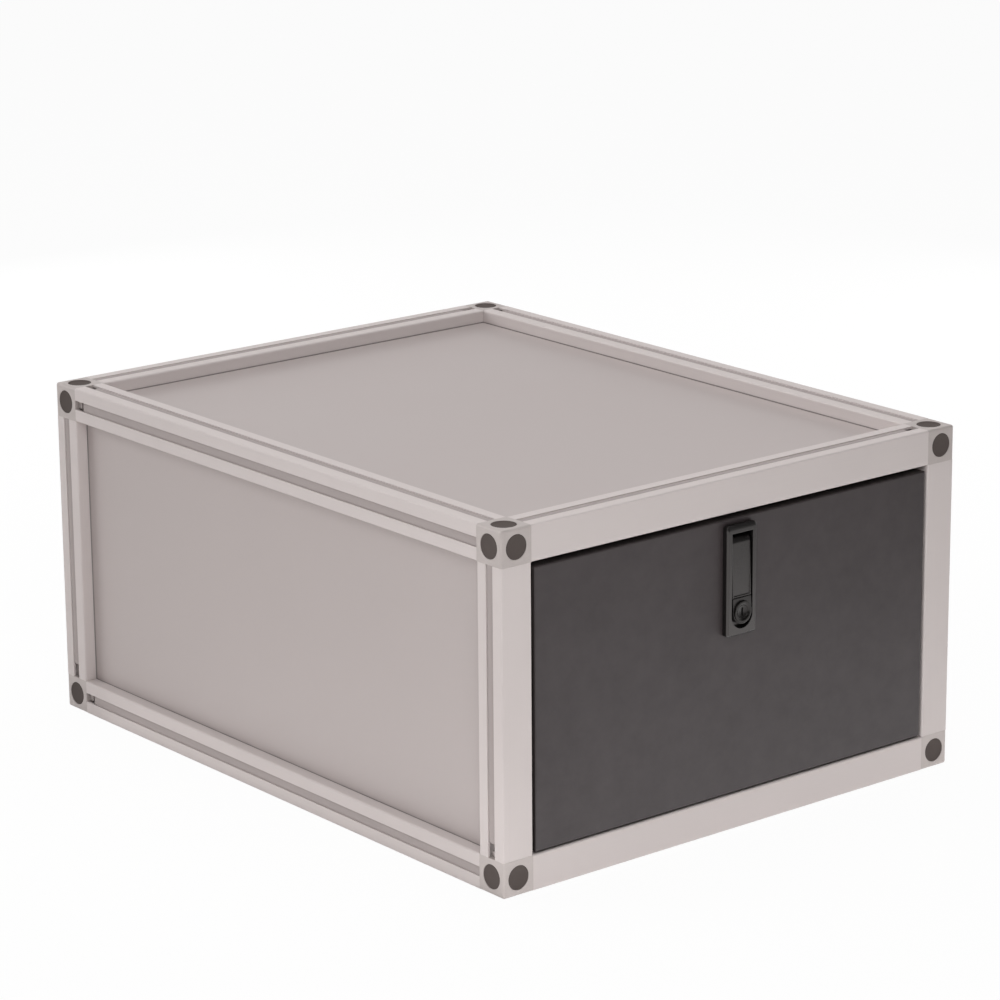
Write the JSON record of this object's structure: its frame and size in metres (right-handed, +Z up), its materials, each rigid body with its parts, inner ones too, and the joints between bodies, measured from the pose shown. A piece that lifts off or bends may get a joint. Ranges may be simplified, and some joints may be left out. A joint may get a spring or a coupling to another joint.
{
  "type": "tool drawer module",
  "caption": "Lockable drawer module: aluminium profile frame with cast corner blocks and let-in panels, plywood drawer on full-extension ball slides, lever and key latch.",
  "frame": {"origin": "centre of the module's footprint, on the surface that it stands on", "axes": "+X to the right seen from the drawer's front, +Y from the front to the back, +Z up"},
  "size_m": [0.49, 0.6278, 0.3],
  "materials": {
    "profile_aluminium": "satin anodised, warm light grey",
    "corner_casting": "die-cast aluminium with a fine-grained light grey coat",
    "panel_laminate": "thin plywood faced with matt light grey laminate",
    "seal_rubber": "dark grey rubber edge seal",
    "strip_plastic": "grey clip-in cover strip",
    "cap_plastic": "dark grey push-in cap",
    "screw_steel": "zinc-plated steel screw",
    "slide_steel": "zinc-plated rolled steel",
    "ball_steel": "bright steel balls in a pressed steel cage",
    "bumper_rubber": "black rubber",
    "front_board": "plywood faced with dark film in a fine mesh texture",
    "drawer_board": "plywood faced with dark film, bare wood at the edges",
    "bracket_steel": "zinc-plated folded sheet steel",
    "latch_black": "die-cast zinc, semi-matt black",
    "lock_metal": "black-plated brass lock",
    "lock_steel": "bright steel",
    "spring_steel": "spring wire"
  },
  "bodies": {
    "frame": {"corner_block_bottom_back_left": "corner_casting", "corner_block_bottom_back_right": "corner_casting", "corner_block_bottom_front_left": "corner_casting", "corner_block_bottom_front_right": "corner_casting", "corner_block_top_back_left": "corner_casting", "corner_block_top_back_right": "corner_casting", "corner_block_top_front_left": "corner_casting", "corner_block_top_front_right": "corner_casting", "corner_caps": "cap_plastic", "corner_screws": "screw_steel", "cover_strips": "strip_plastic", "panel_back": "panel_laminate", "panel_bottom": "panel_laminate", "panel_left": "panel_laminate", "panel_right": "panel_laminate", "panel_seals": "seal_rubber", "panel_top": "panel_laminate", "post_back_left": "profile_aluminium", "post_back_right": "profile_aluminium", "post_front_left": "profile_aluminium", "post_front_right": "profile_aluminium", "rail_bottom_back": "profile_aluminium", "rail_bottom_front": "profile_aluminium", "rail_bottom_left": "profile_aluminium", "rail_bottom_right": "profile_aluminium", "rail_top_back": "profile_aluminium", "rail_top_front": "profile_aluminium", "rail_top_left": "profile_aluminium", "rail_top_right": "profile_aluminium", "slide_bumpers": "bumper_rubber", "slide_outer_left": "slide_steel", "slide_outer_right": "slide_steel", "slide_post_screws": "screw_steel"},
    "drawer": {"drawer_front": "front_board", "drawer_side_left": "drawer_board", "drawer_side_right": "drawer_board", "drawer_back": "drawer_board", "drawer_base": "drawer_board", "drawer_brackets": "bracket_steel", "drawer_screws": "screw_steel", "slide_inner_left": "slide_steel", "slide_inner_right": "slide_steel", "latch_dish": "latch_black", "latch_carrier": "bracket_steel", "latch_screws": "screw_steel", "lever_pin": "lock_steel", "lever_spring": "spring_steel", "button_spring": "spring_steel"},
    "middle_left": {"slide_middle_left": "slide_steel"},
    "middle_right": {"slide_middle_right": "slide_steel"},
    "cage_outer_left": {"ball_cage_outer_left": "ball_steel"},
    "cage_outer_right": {"ball_cage_outer_right": "ball_steel"},
    "cage_inner_left": {"ball_cage_inner_left": "ball_steel"},
    "cage_inner_right": {"ball_cage_inner_right": "ball_steel"},
    "lever": {"pull_lever": "latch_black"},
    "button": {"lock_button": "latch_black", "lock_shell": "lock_metal"},
    "key_plug": {"key_plug": "lock_metal"},
    "pinion": {"lock_pinion": "lock_steel"},
    "bolt": {"lock_bolt": "lock_steel"}
  },
  "joints": [
    {"name": "drawer_slide", "type": "slide", "parent": "frame", "child": "drawer", "axis": [0, -1, 0], "range_m": [0, 0.55]},
    {"name": "middle_slide_left", "type": "slide", "parent": "frame", "child": "middle_left", "axis": [0, -1, 0], "range_m": [0, 0.275]},
    {"name": "middle_slide_right", "type": "slide", "parent": "frame", "child": "middle_right", "axis": [0, -1, 0], "range_m": [0, 0.275]},
    {"name": "outer_cage_slide_left", "type": "slide", "parent": "frame", "child": "cage_outer_left", "axis": [0, -1, 0], "range_m": [0, 0.1375]},
    {"name": "outer_cage_slide_right", "type": "slide", "parent": "frame", "child": "cage_outer_right", "axis": [0, -1, 0], "range_m": [0, 0.1375]},
    {"name": "inner_cage_slide_left", "type": "slide", "parent": "frame", "child": "cage_inner_left", "axis": [0, -1, 0], "range_m": [0, 0.4125]},
    {"name": "inner_cage_slide_right", "type": "slide", "parent": "frame", "child": "cage_inner_right", "axis": [0, -1, 0], "range_m": [0, 0.4125]},
    {"name": "lever_swing", "type": "hinge", "parent": "drawer", "child": "lever", "pos_m": [0, -0.304, 0.25], "axis": [-1, 0, 0], "range_deg": [0, 35], "stiffness_Nm_per_rad": 0.02, "springref_deg": -20.05, "deforming": ["lever_spring"]},
    {"name": "button_press", "type": "slide", "parent": "drawer", "child": "button", "axis": [0, 1, 0], "range_m": [0, 0.003], "stiffness_N_per_m": 400, "springref_m": -0.003, "deforming": ["button_spring"]},
    {"name": "key_turn", "type": "hinge", "parent": "button", "child": "key_plug", "pos_m": [0, -0.3, 0.1878], "axis": [0, 1, 0], "range_deg": [0, 90]},
    {"name": "pinion_turn", "type": "hinge", "parent": "drawer", "child": "pinion", "pos_m": [0, -0.278, 0.1878], "axis": [0, 1, 0], "range_deg": [0, 90]},
    {"name": "bolt_throw", "type": "slide", "parent": "drawer", "child": "bolt", "axis": [0, 0, 1], "range_m": [0, 0.01021]}
  ],
  "couplings": [
    {"joint": "middle_slide_left", "follows": "drawer_slide", "ratio": 0.5},
    {"joint": "middle_slide_right", "follows": "drawer_slide", "ratio": 0.5},
    {"joint": "outer_cage_slide_left", "follows": "drawer_slide", "ratio": 0.25},
    {"joint": "outer_cage_slide_right", "follows": "drawer_slide", "ratio": 0.25},
    {"joint": "inner_cage_slide_left", "follows": "drawer_slide", "ratio": 0.75},
    {"joint": "inner_cage_slide_right", "follows": "drawer_slide", "ratio": 0.75},
    {"joint": "key_turn", "follows": "bolt_throw", "rad_per_m": 153.85},
    {"joint": "pinion_turn", "follows": "bolt_throw", "rad_per_m": 153.85}
  ]
}
